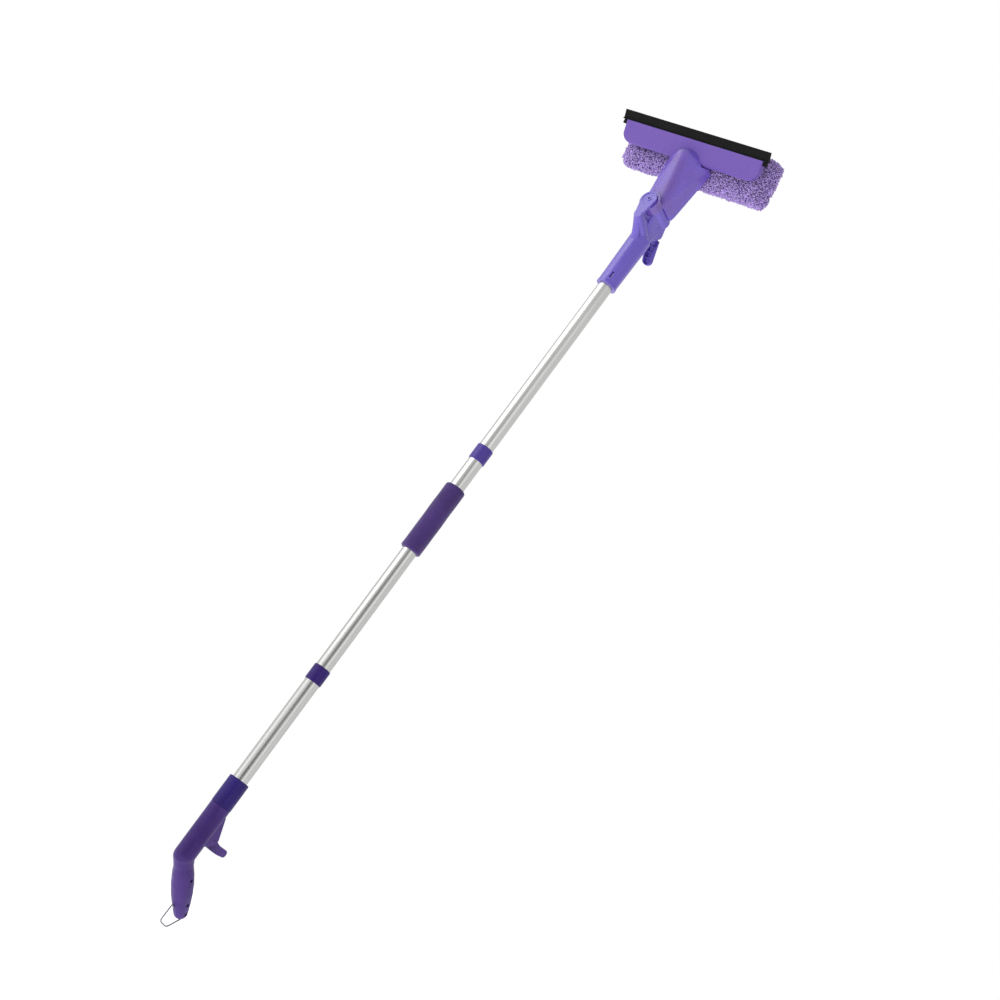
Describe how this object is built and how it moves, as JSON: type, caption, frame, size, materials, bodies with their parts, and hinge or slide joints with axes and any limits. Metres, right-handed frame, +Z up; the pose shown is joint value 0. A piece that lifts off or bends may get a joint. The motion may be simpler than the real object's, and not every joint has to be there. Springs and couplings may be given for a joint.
{
  "type": "window cleaning squeegee",
  "caption": "Window squeegee on a plug-together pole: rubber blade and microfibre pad on a swivel head, released by a trigger in the pistol grip handle.",
  "frame": {"origin": "on the pole axis at the top rim of the handle nut, where a tool clip grips the lower tube", "axes": "+Z up along the pole to the head, +X along the rubber blade, -Y the blade side, +Y the pad and trigger side"},
  "size_m": [0.265, 0.1237, 1.3592],
  "materials": {
    "handle_plastic": "satin moulded, dark violet",
    "nut_plastic": "satin moulded, very dark violet",
    "trigger_plastic": "satin moulded, violet",
    "screw_steel": "blackened",
    "pin_steel": "ground",
    "spring_steel": "drawn wire",
    "wire_steel": "bright drawn wire",
    "tube_aluminium": "satin anodised",
    "lower_coupling_plastic": "moulded, dark violet",
    "upper_coupling_plastic": "moulded, violet",
    "grip_foam": "closed-cell foam, violet",
    "rod_plastic": "extruded, natural white",
    "connector_plastic": "moulded, violet",
    "lever_plastic": "moulded, violet",
    "brake_rubber": "moulded",
    "head_plastic": "moulded, violet",
    "blade_rubber": "smooth squeegee rubber",
    "carrier_plastic": "moulded, white",
    "pad_foam": "open-cell foam",
    "microfibre": "looped microfibre plush, violet"
  },
  "bodies": {
    "pole": {"handle_shell_left": "handle_plastic", "handle_shell_right": "handle_plastic", "handle_collar": "nut_plastic", "handle_screws": "screw_steel", "trigger_pin": "pin_steel", "trigger_spring": "spring_steel", "lower_tube": "tube_aluminium", "middle_tube": "tube_aluminium", "upper_tube": "tube_aluminium", "lower_coupling": "lower_coupling_plastic", "upper_coupling": "upper_coupling_plastic", "foam_grip": "grip_foam", "connector_body": "connector_plastic", "lever_pin": "pin_steel", "lever_spring": "spring_steel", "swivel_pin": "pin_steel"},
    "trigger": {"trigger": "trigger_plastic"},
    "rods": {"lower_push_rod": "rod_plastic", "middle_push_rod": "rod_plastic", "upper_push_rod": "rod_plastic"},
    "lever": {"lock_lever": "lever_plastic"},
    "plunger": {"brake_plunger": "pin_steel", "brake_tip": "brake_rubber"},
    "head": {"neck_front": "head_plastic", "neck_rear": "head_plastic", "neck_screws": "screw_steel", "blade_holder": "head_plastic", "holder_screws": "screw_steel", "rubber_blade": "blade_rubber", "pad_carrier": "carrier_plastic", "carrier_screws": "screw_steel", "pad_foam": "pad_foam", "microfibre_pad": "microfibre"},
    "loop": {"hanging_loop": "wire_steel"}
  },
  "joints": [
    {"name": "head_swivel", "type": "hinge", "parent": "pole", "child": "head", "pos_m": [0, 0, 1.002], "axis": [0, 1, 0], "range_deg": [-60, 60]},
    {"name": "trigger_squeeze", "type": "hinge", "parent": "pole", "child": "trigger", "pos_m": [0, 0.022, -0.082], "axis": [1, 0, 0], "range_deg": [-14, 0], "stiffness_Nm_per_rad": 0.6, "springref_deg": 14.32, "deforming": ["trigger_spring"]},
    {"name": "rod_lift", "type": "slide", "parent": "pole", "child": "rods", "axis": [0, 0, 1], "range_m": [0, 0.0053]},
    {"name": "lever_tilt", "type": "hinge", "parent": "pole", "child": "lever", "pos_m": [0, 0.019, 0.984], "axis": [1, 0, 0], "range_deg": [-16.5, 0], "deforming": ["lever_spring"]},
    {"name": "plunger_slide", "type": "slide", "parent": "pole", "child": "plunger", "axis": [0, 1, 0], "range_m": [0, 0.0046]},
    {"name": "loop_swing", "type": "hinge", "parent": "pole", "child": "loop", "pos_m": [0, 0.04236, -0.18015], "axis": [0, 0.9591, -0.2829], "range_deg": [-75, 75]}
  ],
  "couplings": [
    {"joint": "trigger_squeeze", "follows": "rod_lift", "rad_per_m": -45.45},
    {"joint": "lever_tilt", "follows": "rod_lift", "rad_per_m": -52.63},
    {"joint": "plunger_slide", "follows": "rod_lift", "ratio": 0.818}
  ]
}
